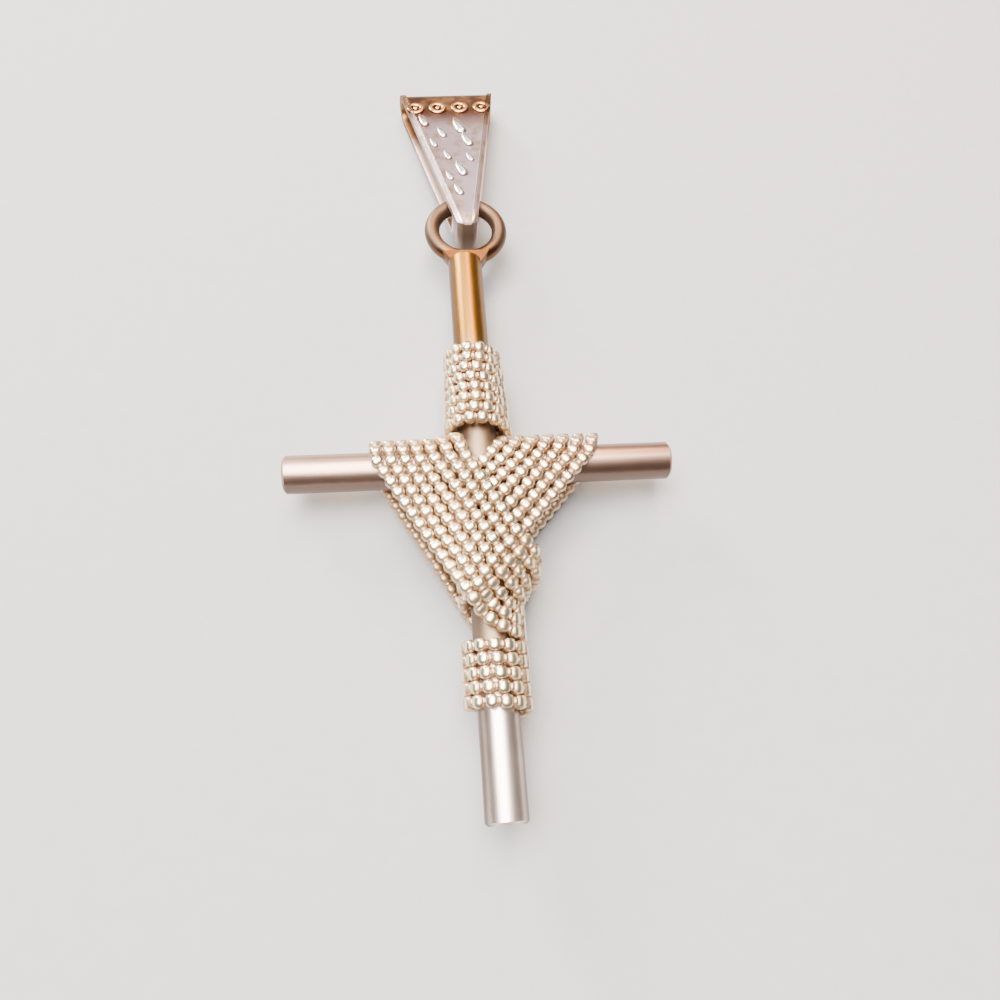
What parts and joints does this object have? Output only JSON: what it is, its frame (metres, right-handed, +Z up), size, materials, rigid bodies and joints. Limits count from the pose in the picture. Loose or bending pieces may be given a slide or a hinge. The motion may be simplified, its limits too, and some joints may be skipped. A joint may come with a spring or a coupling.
{
  "type": "cross pendant",
  "caption": "Cross pendant of round silver rod, its crossing draped and bound with beaded wire, hung from a ring and a tapered folded bail.",
  "frame": {"origin": "on the surface the pendant lies on, under the middle of its bounding box", "axes": "+Z up from the surface through the front of the lying pendant, +X along the right arm, +Y along the post towards the bail"},
  "size_m": [0.0254, 0.0584, 0.0059],
  "materials": {
    "rod_silver": "polished silver rod with fine lengthwise scratches",
    "bail_silver": "cast silver, satin ground between polished raised rims and ornament",
    "bead_silver": "polished silver beaded wire, dark in the grooves"
  },
  "bodies": {
    "root": {"cross_frame": "rod_silver", "bail": "bail_silver", "right_drape": "bead_silver", "left_drape": "bead_silver", "upper_collar": "bead_silver", "lower_collar": "bead_silver"}
  },
  "joints": []
}
